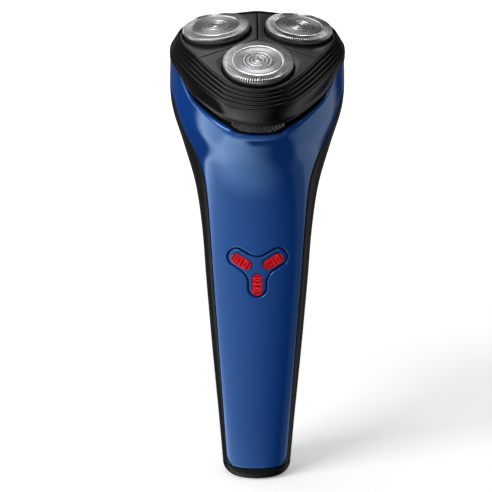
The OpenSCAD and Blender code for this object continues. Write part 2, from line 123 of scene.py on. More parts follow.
def at(tab, s):
    """Smooth values of every column of a station table at positions s."""
    s = np.asarray(s, float)
    x = tab[:, 0]
    n = len(tab)
    i = np.clip(np.searchsorted(x, s, "right") - 1, 0, n - 2)
    low, high = np.maximum(np.arange(n) - 1, 0), np.minimum(np.arange(n) + 1, n - 1)
    slopes = (tab[high] - tab[low]) / (x[high] - x[low])[:, None]
    d = (x[i + 1] - x[i])[..., None]
    u = ((s - x[i]) / (x[i + 1] - x[i]))[..., None]
    return (
        (2 * u**3 - 3 * u**2 + 1) * tab[i]
        + (3 * u**2 - 2 * u**3) * tab[i + 1]
        + (u**3 - 2 * u**2 + u) * d * slopes[i]
        + (u**3 - u**2) * d * slopes[i + 1]
    )


def ease(x):
    """Smooth step from 0 to 1."""
    c = np.clip(x, 0, 1)
    return c * c * (3 - 2 * c)


def skin(s, phi, off=0.0):
    """Points of the handle skin: spine position s, outline normal angle phi, inward offset."""
    s, phi, off = np.broadcast_arrays(*(np.asarray(v, float) for v in (s, phi, off)))
    row = at(STATIONS, s)
    centre_y, tilt = row[..., 1], np.radians(row[..., 2])
    half, front, back = row[..., 3] - off, row[..., 4] - off, row[..., 5] - off
    k3 = (front - back) / 2
    k6 = -k3 * (0.1 + 0.09 * ease((s - NECK_S) / (RIM_S - NECK_S)))
    k0 = (half + (front + back) / 2) / 2 - SQUARE
    k2 = (half - (front + back) / 2) / 2 + k6
    p = np.radians(phi)
    q = p + math.pi / 2
    h = k0 + k2 * np.cos(2 * p) + k3 * np.cos(3 * q) + SQUARE * np.cos(4 * p) + k6 * np.cos(6 * q)
    g = (
        -2 * k2 * np.sin(2 * p) - 3 * k3 * np.sin(3 * q)
        - 4 * SQUARE * np.sin(4 * p) - 6 * k6 * np.sin(6 * q)
    )
    x = h * np.cos(p) - g * np.sin(p)
    v = h * np.sin(p) + g * np.cos(p)
    return np.stack([x, centre_y + v * np.cos(tilt), s + v * np.sin(tilt)], -1)


def lift(v):
    """How far the joint line between head and handle rises at both sides of the head."""
    return RIM_RISE * ease((v + 14) / 15) * (1 - ease((v - 12) / 9))


def rim_at(phi):
    """Spine position of the top edge of the handle shells at outline angle phi."""
    phi = np.asarray(phi, float)
    s = np.full_like(phi, RIM_S)
    c, n = cos_sin(HEAD_TILT)
    for _ in range(5):
        p = skin(s, phi)
        y, z = p[..., 1] - HEAD_Y, p[..., 2] - HEAD_Z
        s = s + (RIM_W + lift(y * c + z * n) - (z * c - y * n)) / 0.97
    a = np.minimum(np.abs(phi + 90), np.abs(phi - 270))
    dip = RIM_DIP * np.cos(np.radians(np.minimum(90 * a / 70, 90))) ** 0.85
    return s - dip


def front_y(x, z, off=0.0):
    """Y of the front of the handle at (x, z), by a few steps of Newton's method."""
    x, z = np.asarray(x, float), np.asarray(z, float)
    s, phi = z.copy(), -90 + np.degrees(x / 22)
    for _ in range(12):
        p = skin(s, phi, off)
        px = skin(s, phi + 0.05, off)
        phi = phi - np.clip((p[..., 0] - x) / ((px - p)[..., 0] / 0.05), -6, 6)
        s = s - (p[..., 2] - z)
    return skin(s, phi, off)[..., 1]


def on_front(xz, off=0.0):
    """(x, z) points put on the front of the handle, sunk by off."""
    return np.stack([xz[:, 0], front_y(xz[:, 0], xz[:, 1], off), xz[:, 1]], -1)


# ---------------------------------------------------------------- mesh helpers
def new_mesh(name, verts, faces):
    """A mesh from points in metres."""
    data = bpy.data.meshes.new(name)
    data.from_pydata(np.asarray(verts, float).tolist(), [], [list(map(int, f)) for f in faces])
    return data


def new_object(name, data):
    obj = bpy.data.objects.new(name, data)
    bpy.context.collection.objects.link(obj)
    return obj


def smooth(data):
    for polygon in data.polygons:
        polygon.use_smooth = True


def piece(name, parts, key, body, replaces=(), sharp=35):
    """A smooth-shaded piece from millimetre points and faces, riding on a CAD body."""
    verts, faces = parts
    data = new_mesh(name, np.asarray(verts, float) * MM, faces)
    bm = bmesh.new()
    bm.from_mesh(data)
    bmesh.ops.remove_doubles(bm, verts=bm.verts, dist=1e-7)
    bmesh.ops.recalc_face_normals(bm, faces=bm.faces)
    bm.to_mesh(data)
    bm.free()
    smooth(data)
    data.set_sharp_from_angle(angle=math.radians(sharp))
    obj = new_object(name, data)
    data.materials.append(MAT[key])
    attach(obj, body)
    if replaces:
        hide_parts(*replaces)
    return obj


def ring_faces(rings, points, wrap=True):
    """Quads between successive rings of points."""
    out = []
    for i in range(rings - 1):
        for j in range(points if wrap else points - 1):
            a, b = i * points + j, i * points + (j + 1) % points
            out.append((a, b, b + points, a + points))
    return out


def lathe(profile, steps):
    """Points and faces of a profile [(r, w)] turned round the w axis. Zero radii close it."""
    verts, faces, rows = [], [], []
    for r, w in profile:
        if r < 1e-6:
            rows.append([len(verts)])
            verts.append((0.0, 0.0, w))
        else:
            rows.append(list(range(len(verts), len(verts) + steps)))
            for k in range(steps):
                t = 2 * math.pi * k / steps
                verts.append((r * math.cos(t), r * math.sin(t), w))
    for a, b in zip(rows, rows[1:]):
        for k in range(steps):
            n = (k + 1) % steps
            if len(a) == 1 and len(b) == 1:
                continue
            if len(a) == 1:
                faces.append((a[0], b[k], b[n]))
            elif len(b) == 1:
                faces.append((a[k], b[0], a[n]))
            else:
                faces.append((a[k], b[k], b[n], a[n]))
    return np.array(verts, float), faces


def joined(parts):
    """One list of points and faces from several."""
    verts, faces, base = [], [], 0
    for v, f in parts:
        v = np.asarray(v, float)
        verts.append(v)
        faces += [tuple(base + int(i) for i in face) for face in f]
        base += len(v)
    return np.concatenate(verts), faces


def in_head(points):
    """From head coordinates (u right, v back, w out of the head) to the row frame."""
    p = np.asarray(points, float)
    c, s = cos_sin(HEAD_TILT)
    return np.stack(
        [p[..., 0], HEAD_Y + p[..., 1] * c - p[..., 2] * s, HEAD_Z + p[..., 1] * s + p[..., 2] * c], -1
    )


def unit_to_head(points, unit):
    """From the tilted coordinates of one shaving unit to head coordinates."""
    p = np.asarray(points, float)
    (ct, st), (ca, sa) = cos_sin(UNIT_TILT), cos_sin(UNIT_ANGLES[unit])
    x = p[..., 0] * ct + p[..., 2] * st + UNIT_A
    w = -p[..., 0] * st + p[..., 2] * ct
    y = p[..., 1]
    return np.stack([x * ca - y * sa, x * sa + y * ca, w], -1)


def in_unit(points, unit):
    return in_head(unit_to_head(points, unit))


def in_cap(points, unit):
    return in_unit(np.asarray(points, float) + (0, 0, CAP_W), unit)


def fillet(r, steps):
    """Quarter round as (distance from the edge, inward offset) pairs, edge last."""
    return [
        (r * (1 - math.sin(a)), r * (1 - math.cos(a)))
        for a in (math.pi / 2 * k / steps for k in range(steps + 1))
    ]


# ---------------------------------------------------------------- materials
class Nodes:
    """Short way to build a material: a Principled shader with its detail nodes."""

    def __init__(self, name, **values):
        self.mat = bpy.data.materials.new(name)
        self.mat.use_nodes = True
        self.tree = self.mat.node_tree
        self.bsdf = self.tree.nodes["Principled BSDF"]
        for key, value in values.items():
            self.bsdf.inputs[key.replace("_", " ")].default_value = value
        self.coord = self.tree.nodes.new("ShaderNodeTexCoord").outputs["Object"]

    def add(self, kind, links=(), **settings):
        n = self.tree.nodes.new(kind)
        for key, value in settings.items():
            if key in n.inputs:
                n.inputs[key].default_value = value
            else:
                setattr(n, key, value)
        for socket, source in dict(links).items():
            self.tree.links.new(source, n.inputs[socket])
        return n

    def noise(self, scale, detail=3.0, stretch=None):
        vector = self.coord
        if stretch:
            vector = self.add("ShaderNodeMapping", {"Vector": vector}, Scale=stretch).outputs["Vector"]
        return self.add(
            "ShaderNodeTexNoise", {"Vector": vector}, Scale=scale, Detail=detail, Roughness=0.55
        ).outputs["Fac"]

    def ramp(self, source, low, high, a, b):
        """Maps source from (low, high) to (a, b), as numbers or colours."""
        if isinstance(a, tuple):
            n = self.add("ShaderNodeValToRGB", {"Fac": source})
            for stop, place, colour in zip(n.color_ramp.elements, (low, high), (a, b)):
                stop.position, stop.color = place, (*colour, 1)
            return n.outputs["Color"]
        n = self.add("ShaderNodeMapRange", {"Value": source})
        for key, value in zip(("From Min", "From Max", "To Min", "To Max"), (low, high, a, b)):
            n.inputs[key].default_value = value
        return n.outputs["Result"]

    def colour(self, socket):
        self.tree.links.new(socket, self.bsdf.inputs["Base Color"])

    def rough(self, socket):
        self.tree.links.new(socket, self.bsdf.inputs["Roughness"])

    def height(self, socket, strength, distance):
        n = self.add("ShaderNodeBump", {"Height": socket}, Strength=strength, Distance=distance)
        self.tree.links.new(n.outputs["Normal"], self.bsdf.inputs["Normal"])


def plastic(name, colour, rough, spread=0.04, grain=900.0, bump=0.06, gloss=0.5, mottle=0.12, tint=(1, 1, 1)):
    """Moulded plastic: fine grain in the bump, slow change in colour and roughness."""
    m = Nodes(name, Specular_IOR_Level=gloss, Specular_Tint=(*tint, 1))
    slow = m.noise(60.0, 4.0)
    fine = m.noise(grain, 3.0)
    dark = tuple(c * (1 - mottle) for c in colour)
    light = tuple(min(1.0, c * (1 + mottle)) for c in colour)
    m.colour(m.ramp(slow, 0.3, 0.7, dark, light))
    m.rough(m.ramp(fine, 0.3, 0.7, rough - spread, rough + spread))
    m.height(fine, bump, 0.0002)
    return m.mat


def metal(name, colour, rough, spread=0.06, scale=(2500.0, 2500.0, 60.0), bump=0.05, mottle=0.08):
    """Worked metal with fine directional marks."""
    m = Nodes(name, Metallic=1.0)
    marks = m.noise(1.0, 4.0, scale)
    slow = m.noise(120.0, 3.0)
    m.colour(m.ramp(slow, 0.3, 0.7, tuple(c * (1 - mottle) for c in colour), colour))
    m.rough(m.ramp(marks, 0.3, 0.7, rough - spread, rough + spread))
    m.height(marks, bump, 0.0001)
    return m.mat


BLUE = (0.0045, 0.048, 0.24)
BLUE_GLOSS = (0.30, 0.60, 1.0)
BLACK = (0.0055, 0.0055, 0.006)
MAT = {
    "blue": plastic("blue_shell", BLUE, 0.09, 0.02, 1500.0, 0.006, gloss=1.0, mottle=0.04, tint=BLUE_GLOSS),
    "black": plastic("black_shell", BLACK, 0.32, 0.04, 1400.0, 0.02, gloss=0.1, mottle=0.15),
    "band": plastic("head_black", (0.004, 0.004, 0.0045), 0.20, 0.04, 1600.0, 0.02, gloss=0.2, mottle=0.15),
    "plate": plastic("satin_plate", (0.010, 0.010, 0.011), 0.30, 0.04, 2600.0, 0.10, mottle=0.10),
    "satin": plastic("black_satin", (0.010, 0.010, 0.011), 0.42, 0.06, 2200.0, 0.10, mottle=0.2),
    "key": plastic("release_key", (0.05, 0.05, 0.053), 0.30, 0.04, 2200.0, 0.05, mottle=0.12),
    # painted shade: the dark holder under each cap darkens the slot gaps and the cap's wall, where shade
    # falls
    "holder_painted_shade": metal("cap_rim_painted_shade", (0.03, 0.03, 0.032), 0.45),
    "red": plastic("red_rubber", (0.58, 0.004, 0.011), 0.42, 0.05, 1800.0, 0.05, gloss=0.2, mottle=0.10),
    "switch": plastic("red_plastic", (0.62, 0.05, 0.04), 0.30, 0.04),
    "grey": plastic("grey_plastic", (0.13, 0.13, 0.14), 0.50, 0.05, 1200.0, 0.15),
    "part": plastic("board_part", (0.02, 0.02, 0.022), 0.45, 0.05, 1500.0, 0.12),
    "board": plastic("board_green", (0.012, 0.13, 0.05), 0.35, 0.05, 1800.0, 0.05),
    "cell": plastic("cell_wrap", (0.03, 0.22, 0.12), 0.25, 0.04, 900.0, 0.04),
    "gear": plastic("gear_plastic", (0.72, 0.70, 0.62), 0.42, 0.05, 1400.0, 0.10),
    "frame": plastic("frame_plastic", (0.62, 0.62, 0.60), 0.44, 0.05, 1400.0, 0.10),
    "steel": metal("ground_steel", (0.60, 0.60, 0.61), 0.28),
    "zinc": metal("zinc_plate", (0.55, 0.56, 0.58), 0.36, mottle=0.18),
    "nickel": metal("nickel_strip", (0.66, 0.64, 0.58), 0.30),
    "brass": metal("contact_brass", (0.78, 0.60, 0.26), 0.24),
}


def cap_steel():
    """Turned steel of the caps: rings from the lathe, and a slow change in brightness."""
    m = Nodes("cap_steel", Metallic=1.0)
    slow = m.noise(220.0, 3.0)
    fine = m.noise(5200.0, 2.0)
    m.colour(m.ramp(slow, 0.25, 0.75, (0.74, 0.745, 0.755), (0.92, 0.925, 0.93)))
    m.rough(m.ramp(fine, 0.3, 0.7, 0.14, 0.26))
    m.height(fine, 0.10, 0.00005)
    return m.mat


MAT["cap"] = cap_steel()
MAT["disc"] = metal("cap_disc", (0.27, 0.272, 0.28), 0.33, scale=(3000.0, 3000.0, 3000.0), bump=0.2)
MAT["badge"] = metal("badge", (0.40, 0.403, 0.41), 0.28, scale=(1500.0, 1500.0, 1500.0))


def repaint(node, key):
    """Gives a carried-over CAD node its detailed material."""
    obj = frame["nodes"][node]
    obj.data.materials.clear()
    obj.data.materials.append(MAT[key])
    for polygon in obj.data.polygons:
        polygon.material_index = 0


# ---------------------------------------------------------------- Y-shaped button outline
def y_distance(x, z):
    """Signed distance from the filleted Y outline, negative inside."""
    x, z = np.asarray(x, float), np.asarray(z, float) - Y_CENTRE
    arms = []
    for a, reach in Y_REACH.items():
        c, s = cos_sin(a)
        along = np.clip(x * c + z * s, 0, reach)
        arms.append(np.hypot(x - along * c, z - along * s) - Y_HALF)
    a, b = np.sort(np.stack(arms), 0)[:2]
    # round union of the two nearest arms, with the fillet radius
    round_part = np.hypot(np.maximum(Y_FILLET - a, 0), np.maximum(Y_FILLET - b, 0))
    return np.maximum(Y_FILLET, np.minimum(a, b)) - round_part


def y_outline(grow, count=240):
    """Closed loop of (x, z) points where y_distance equals grow."""
    t = np.linspace(0, 2 * math.pi, count, endpoint=False)
    lo, hi = np.zeros(count), np.full(count, 14.0)
    for _ in range(40):
        mid = (lo + hi) / 2
        inside = y_distance(mid * np.cos(t), Y_CENTRE + mid * np.sin(t)) < grow
        lo, hi = np.where(inside, mid, lo), np.where(inside, hi, mid)
    return np.stack([lo * np.cos(t), Y_CENTRE + lo * np.sin(t)], -1)


def grip_outline(a, grow, count=72):
    """Loop of (x, z) points round one grip, grown outward."""
    c, s = cos_sin(a)
    r, straight = GRIP_W / 2 + grow, (GRIP_L - GRIP_W) / 2
    out = []
    for k in range(count):
        t = 2 * math.pi * k / count
        along = r * math.cos(t) + math.copysign(straight, math.cos(t))
        across = r * math.sin(t)
        x = GRIP_AT[a] * c + along * c - across * s
        out.append((x * GRIP_SPREAD, Y_CENTRE + GRIP_AT[a] * s + along * s + across * c))
    return np.array(out)


def triangulated(loops, fill, inside):
    """Triangles over 2-D loops and fill points, keeping those whose centre is inside."""
    points, edges = [], []
    for loop in loops:
        base = len(points)
        points += [Vector(p) for p in loop]
        edges += [(base + k, base + (k + 1) % len(loop)) for k in range(len(loop))]
    points += [Vector(p) for p in fill]
    verts, _, faces, _, _, _ = delaunay_2d_cdt(points, edges, [], 0, 1e-6)
    xy = np.array([tuple(v) for v in verts])
    faces = np.array([tuple(f) for f in faces])
    centre = xy[faces].mean(1)
    return xy, faces[inside(centre)]


# ---------------------------------------------------------------- handle shells
def spread_rows(count):
    """Fractions from 0 to 1, closer together at both ends."""
    u = np.linspace(0, 1, count)
    return u - 0.11 * np.sin(2 * np.pi * u)


def shell_grid(low_phi, high_phi, rows, cols, edge_r, rim_r, foot_r):
    """Spine positions, normal angles and offsets of the outer half of a handle shell."""
    edge = fillet(edge_r, 5)
    side = [(0.0, d, off) for d, off in edge[::-1]]
    columns = side + [(t, edge_r, 0.0) for t in np.linspace(0, 1, cols)[1:-1]]
    columns += [(1.0, d, off) for d, off in edge]
    lines = [(0.0, d, off) for d, off in fillet(foot_r, 3)[::-1]]
    lines += [(k, None, 0.0) for k in spread_rows(rows)[1:-1]]
    lines += [(1.0, d, off) for d, off in fillet(1.0, 8)]
    s = np.zeros((len(lines), len(columns)))
    phi, off = np.zeros_like(s), np.zeros_like(s)
    degrees = 57.3 / 14
    for i, (k, d, row_off) in enumerate(lines):
        base = FOOT_S + (RIM_S - FOOT_S) * k
        lo, hi = low_phi(base), high_phi(base)
        for j, (t, cd, col_off) in enumerate(columns):
            inner = edge_r * degrees
            if t == 0.0:
                phi[i, j] = lo + cd * degrees
            elif t == 1.0:
                phi[i, j] = hi - cd * degrees
            else:
                phi[i, j] = lo + inner + (hi - lo - 2 * inner) * t
            off[i, j] = col_off + (row_off if k == 0.0 else 0.0)
        rim = rim_at(phi[i])
        soft = rim_r(phi[i])
        if d is None:
            s[i] = FOOT_S + foot_r + (rim - soft - FOOT_S - foot_r) * k
        elif k == 0.0:
            s[i] = FOOT_S + d
        else:
            s[i] = rim - d * soft
            off[i] += row_off * np.minimum(soft, WALL - 0.15)
    return s, phi, np.minimum(off, WALL - 0.1)


def shell_mesh(s, phi, off):
    """Closed shell from its outer grid: outer rows joined to the same rows at full wall depth."""
    rows, cols = s.shape
    outer = skin(s, phi, off)
    inner = skin(s, phi, WALL)[:, ::-1]
    verts = np.concatenate([outer, inner], 1).reshape(-1, 3)
    n = 2 * cols
    faces = ring_faces(rows, n)
    for base in (0, (rows - 1) * n):
        for j in range(cols - 1):
            quad = (base + j, base + j + 1, base + n - 2 - j, base + n - 1 - j)
            faces.append(quad if base == 0 else quad[::-1])
    return verts, faces


def parting_angle(s):
    return float(at(PARTING, s)[..., 1])


def surface_normal(x, z):
    """Outward unit normals of the front of the handle at (x, z)."""
    e = 0.05
    dx = (front_y(x + e, z) - front_y(x - e, z)) / (2 * e)
    dz = (front_y(x, z + e) - front_y(x, z - e)) / (2 * e)
    n = np.stack([dx, -np.ones_like(dx), dz], -1)
    return n / np.linalg.norm(n, axis=-1, keepdims=True)


def cover_rim(phi):
    """Rounding of the cover's top edge: broad under the release button, small at the sides."""
    return 0.45 + 1.85 * ease((62 - np.abs(phi + 90)) / 40)


def front_cover():
    """Blue front shell with a rounded pocket that the Y-shaped button sits in."""
    s, phi, off = shell_grid(
        lambda b: -90 - parting_angle(b), lambda b: -90 + parting_angle(b), 170, 96, 0.35, cover_rim, 0.3
    )
    verts, faces = shell_mesh(s, phi, off)
    cols = s.shape[1]
    n = 2 * cols
    # grid quads round the button give way to a patch that follows the Y outline
    mid_rows = [i for i in range(len(s)) if PATCH_LOW < s[i, cols // 2] < PATCH_HIGH]
    r0, r1 = mid_rows[0], mid_rows[-1]
    c0 = min(j for j in range(cols) if verts[r0 * n + j][0] > -PATCH_HALF)
    c1 = cols - 1 - c0
    taken = {(i * n + j, i * n + j + 1) for i in range(r0, r1) for j in range(c0, c1)}
    faces = [f for f in faces if not ((f[0], f[1]) in taken and f[2] == f[1] + n)]
    border = (
        [r0 * n + j for j in range(c0, c1)] + [i * n + c1 for i in range(r0, r1)]
        + [r1 * n + j for j in range(c1, c0, -1)] + [i * n + c0 for i in range(r1, r0, -1)]
    )
    radius = POCKET_ROUND
    steps = [radius * (1 - math.sin(math.pi / 2 * k / 6)) for k in range(7)]
    loops = [verts[border][:, [0, 2]]] + [y_outline(Y_GROOVE + d) for d in steps]
    fill = np.array([
        verts[i * n + j][[0, 2]] for i in range(r0 + 1, r1) for j in range(c0 + 1, c1)
    ])
    fill = fill[y_distance(fill[:, 0], fill[:, 1]) > Y_GROOVE + radius + 0.25]
    xz, tris = triangulated(loops, fill, lambda c: y_distance(c[:, 0], c[:, 1]) > Y_GROOVE)
    gap = np.clip(y_distance(xz[:, 0], xz[:, 1]) - Y_GROOVE, 0, radius)
    depth = radius - np.sqrt(np.maximum(radius**2 - (radius - gap) ** 2, 0))
    floor_depth = WALL - 0.05
    edge = y_outline(Y_GROOVE)
    floor, floor_tris = triangulated(
        [edge], np.zeros((0, 2)), lambda c: y_distance(c[:, 0], c[:, 1]) < Y_GROOVE
    )
    wall = np.concatenate([on_front(edge, radius), on_front(edge, floor_depth)])
    obj = piece(
        "front_cover_shell",
        joined([
            (verts, faces), (on_front(xz, depth), tris), (on_front(floor, floor_depth), floor_tris),
            (wall, ring_faces(2, len(edge))),
        ]),
        "blue", "handle", ["front_cover"], 50,
    )
    pocket_normals(obj)


def pocket_normals(obj):
    """Exact normals round the pocket, so that reflections run clean through its rounded rim."""
    co = np.array([v.co for v in obj.data.vertices]) / MM
    yd = y_distance(co[:, 0], co[:, 2])
    near = (
        (np.abs(co[:, 0]) < PATCH_HALF + 0.3) & (co[:, 2] > PATCH_LOW - 1) & (co[:, 2] < PATCH_HIGH + 0.5)
        & (co[:, 1] < 0) & (yd > Y_GROOVE - 0.02)
    )
    skin_y = np.zeros(len(co))
    skin_y[near] = front_y(co[near, 0], co[near, 2])
    near &= (co[:, 1] - skin_y) < POCKET_ROUND * 1.15
    x, z, d = co[near, 0], co[near, 2], yd[near]
    normal = surface_normal(x, z)
    e = 0.02
    grad = np.stack([
        y_distance(x + e, z) - y_distance(x - e, z), np.zeros_like(x),
        y_distance(x, z + e) - y_distance(x, z - e),
    ], -1) / (2 * e)
    grad -= normal * (grad * normal).sum(-1, keepdims=True)
    grad /= np.maximum(np.linalg.norm(grad, axis=-1, keepdims=True), 1e-6)
    sin_a = 1 - np.clip((d - Y_GROOVE) / POCKET_ROUND, 0, 1)[:, None]
    mixed = normal * np.sqrt(1 - sin_a**2) - grad * sin_a
    custom = np.zeros((len(co), 3))
    custom[near] = mixed / np.linalg.norm(mixed, axis=-1, keepdims=True)
    obj.data.normals_split_custom_set_from_vertices(custom.tolist())


def cut(obj, parts):
    """Takes a closed cutter shape out of a piece."""
    verts, faces = parts
    tool = new_object("cutter_shape", new_mesh("cutter_shape", np.asarray(verts, float) * MM, faces))
    modifier = obj.modifiers.new("cut", "BOOLEAN")
    modifier.operation = "DIFFERENCE"
    modifier.solver = "EXACT"
    modifier.object = tool
    graph = bpy.context.evaluated_depsgraph_get()
    result = bpy.data.meshes.new_from_object(obj.evaluated_get(graph))
    obj.modifiers.clear()
    obj.data = result
    bpy.data.objects.remove(tool)
    result.set_sharp_from_angle(angle=math.radians(35))


def block(low, high):
    """Corner points and faces of a box, for cutting."""
    pts = [(x, y, z) for x in (low[0], high[0]) for y in (low[1], high[1]) for z in (low[2], high[2])]
    faces = [(0, 1, 3, 2), (4, 6, 7, 5), (0, 4, 5, 1), (2, 3, 7, 6), (0, 2, 6, 4), (1, 5, 7, 3)]
    return np.array(pts, float), faces


def back_housing():
    """Black shell behind the cover, with a notch for the hinge."""
    s, phi, off = shell_grid(
        lambda b: -90 + parting_angle(b) + SEAM_DEG, lambda b: 270 - parting_angle(b) - SEAM_DEG,
        150, 130, 0.3, lambda phi: np.full_like(phi, 0.5), 0.2,
    )
    obj = piece("back_housing_shell", shell_mesh(s, phi, off), "black", "handle", ["back_housing"])
    notch_half = 5.2
    verts, faces = block((-notch_half, 15, HINGE_W - 2), (notch_half, 30, HINGE_W + 6))
    cut(obj, (in_head(verts), faces))


def base_cap():
    """Foot of the handle: a cup with a rounded edge and the hole of the charging inlet."""
    n = 160
    phi = np.linspace(0, 360, n, endpoint=False)
    # fuller at the sides than at the front and back
    foot_round = 2.6 + 1.2 * np.cos(np.radians(phi)) ** 2
    profile = [
        (foot_round * (1 - math.sin(a)), foot_round * (1 - math.cos(a)))
        for a in (math.pi / 2 * k / 14 for k in range(14, -1, -1))
    ]
    profile += [
        (FOOT_TOP - 0.25, 0.0), (FOOT_TOP - 0.1, 0.05), (FOOT_TOP - 0.02, 0.2), (FOOT_TOP, WALL),
        (FOOT_FLOOR, WALL),
    ]
    rings = []
    for z, off in profile:
        p = skin(np.full(n, FOOT_S - 0.5), phi, off)
        p[:, 2] = z
        rings.append(p)
    angle = np.arctan2(rings[0][:, 1] - INLET_Y, rings[0][:, 0])
    half = (INLET_LENGTH - 2 * INLET_R) / 2
    reach = []
    for a in angle:
        c, sn = abs(math.cos(a)), abs(math.sin(a))
        flat = INLET_R / sn if sn > 1e-9 else 1e9
        if flat * c <= half:
            reach.append(flat)
        else:
            reach.append(half * c + math.sqrt(max(INLET_R * INLET_R - (half * sn) ** 2, 0)))
    for z, grow in ((FOOT_FLOOR, 0.0), (0.35, 0.0), (0.1, 0.08), (0.0, 0.3)):
        d = np.array(reach) + grow
        rings.append(np.stack([d * np.cos(angle), INLET_Y + d * np.sin(angle), np.full(n, z)], -1))
    rings.append(rings[0])
    verts = np.concatenate(rings)
    piece("base_cap_shell", (verts, ring_faces(len(rings), n)), "black", "handle", ["base_cap"])


# ---------------------------------------------------------------- power button
def button_plate():
    """Y-shaped plate with rounded edges and a socket for each grip."""
    r, thick = 0.4, 1.0
    steps = [r * (1 - math.sin(math.pi / 2 * k / 5)) for k in range(6)]
    # rounded edge of a socket as (distance from the grip, depth), then the depth of its floor
    sockets = [(0.32, 0.0), (0.24, 0.03), (0.17, 0.10), (0.12, 0.22)]
    socket_edge, socket_top = sockets[-1]
    socket_floor = 0.65
    socket_loops = {a: grip_outline(a, socket_edge) for a in Y_REACH}
    loops = [y_outline(-d) for d in steps]
    for a in Y_REACH:
        loops += [grip_outline(a, grow) for grow, _ in sockets]
    pitch = 0.55
    fill = np.array([(x, z) for x in np.arange(-11, 11, pitch) for z in np.arange(66, 86, pitch)])
    keep = y_distance(fill[:, 0], fill[:, 1]) < -r - 0.15
    for a in Y_REACH:
        keep &= grip_distance(a, fill[:, 0], fill[:, 1]) > 0.45
    fill = fill[keep]

    def inside(c):
        ok = y_distance(c[:, 0], c[:, 1]) < 0
        for a in Y_REACH:
            ok &= grip_distance(a, c[:, 0], c[:, 1]) > socket_edge
        return ok

    xz, tris = triangulated(loops, fill, inside)
    gap = np.clip(-y_distance(xz[:, 0], xz[:, 1]), 0, r)
    depth = r - np.sqrt(np.maximum(r**2 - (r - gap) ** 2, 0))
    grows, depths = zip(*sockets[::-1])
    for a in Y_REACH:
        depth = np.maximum(depth, np.interp(grip_distance(a, xz[:, 0], xz[:, 1]), grows, depths))
    parts = [(on_front(xz, depth), tris)]
    for loop, top, low in [(y_outline(0.0), r, thick)] + [
        (loop, socket_top, socket_floor) for loop in socket_loops.values()
    ]:
        parts.append((np.concatenate([on_front(loop, top), on_front(loop, low)]), ring_faces(2, len(loop))))
    under, tris = triangulated([y_outline(0.0)], np.zeros((0, 2)), lambda c: y_distance(c[:, 0], c[:, 1]) < 0)
    parts.append((on_front(under, thick), tris))
    for a, loop in socket_loops.items():
        floor, tris = triangulated(
            [loop], np.zeros((0, 2)), lambda c: grip_distance(a, c[:, 0], c[:, 1]) < socket_edge
        )
        parts.append((on_front(floor, socket_floor), tris))
    piece("power_button_plate", joined(parts), "blue", "power_control", ["power_button"], 40)


def grip_distance(a, x, z):
    """Signed distance from one grip's outline, as seen from the front."""
    c, s = cos_sin(a)
    px, pz = x / GRIP_SPREAD - GRIP_AT[a] * c, z - Y_CENTRE - GRIP_AT[a] * s
    along, across = px * c + pz * s, -px * s + pz * c
    straight = (GRIP_L - GRIP_W) / 2
    return np.hypot(along - np.clip(along, -straight, straight), across) - GRIP_W / 2


def button_grips():
    """Three soft red grips, crowned, each with a row of ribs across it."""
    parts = []
    count, rings = 120, 22
    straight, half = (GRIP_L - GRIP_W) / 2, GRIP_W / 2
    rib_pitch, rib_depth, crown_height, root = 1.15, 0.62, 0.40, -0.55
    for a in Y_REACH:
        verts = []
        side = 0 if a == 270 else math.copysign(1, math.cos(math.radians(a)))
        origin = skin(Y_CENTRE + GRIP_AT[a] * math.sin(math.radians(a)), -90 + side * GRIP_TURN)
        (c_turn, s_turn), (c_spin, s_spin) = cos_sin(side * GRIP_TURN), cos_sin(a)
        for ring in range(-1, rings):
            t = max(ring, 0) / (rings - 1)
            r = half * (1 - t) ** 1.15
            for k in range(count):
                b = 2 * math.pi * k / count
                end = (1 if math.cos(b) >= 0 else -1) * min(1, abs(math.cos(b)) * 6)
                along, across = r * math.cos(b) + straight * end, r * math.sin(b)
                crown = crown_height * math.sqrt(max(1 - (r / half) ** 4, 0)) + 0.05
                rib = 0.5 + 0.5 * math.cos(2 * math.pi * along / rib_pitch)
                height = crown - rib_depth * (1 - rib) ** 1.3 * min(1.0, (half - r) * 3.0)
                if ring < 0:
                    height = root
                x, z = along * c_spin - across * s_spin, along * s_spin + across * c_spin
                verts.append((
                    origin[0] + x * c_turn + height * s_turn,
                    origin[1] + x * s_turn - height * c_turn,
                    origin[2] + z,
                ))
        faces = ring_faces(rings + 1, count)
        faces.append(tuple(range(count - 1, -1, -1)))
        base = rings * count
        faces += [
            (base + k, base + k + 1, base + count - 2 - k, base + count - 1 - k)
            for k in range(count // 2 - 1)
        ]
        parts.append((np.array(verts), faces))
    piece("button_grip_pads", joined(parts), "red", "power_control", ["button_grips"], 60)


# ---------------------------------------------------------------- head
def tri_side(b):
    """Reach and half angle of the arc that bulges each side of the head outline by b."""
    half = UNIT_A * math.sin(math.radians(60))
    x = (half**2 - b**2) / (2 * b)
    return x, math.degrees(math.atan(half / x))


def tri_loop(r, b, arc=26, flat=18):
    """Rounded three-lobed outline of the head, radius r round each unit, sides bulging by b."""
    x, beta = tri_side(b)
    out = []
    for a in UNIT_ANGLES:
        for e in np.radians(a + np.linspace(beta - 60, 60 - beta, arc)):
            out.append((
                UNIT_A * math.cos(math.radians(a)) + r * math.cos(e),
                UNIT_A * math.sin(math.radians(a)) + r * math.sin(e),
            ))
        n = math.radians(a + 60)
        for e in np.radians(a + 60 + np.linspace(-beta, beta, flat + 2)[1:-1]):
            out.append((
                (r + x + b) * math.cos(e) - (x - UNIT_A / 2) * math.cos(n),
                (r + x + b) * math.sin(e) - (x - UNIT_A / 2) * math.sin(n),
            ))
    return np.array(out)


def plate_height(points):
    """Height of the tilted top plates over the head plane at (u, v) points."""
    along = np.max(np.stack([
        points[:, 0] * math.cos(math.radians(a)) + points[:, 1] * math.sin(math.radians(a))
        for a in UNIT_ANGLES
    ]), 0)
    return PLATE_W - (along - UNIT_A) * math.tan(math.radians(UNIT_TILT))


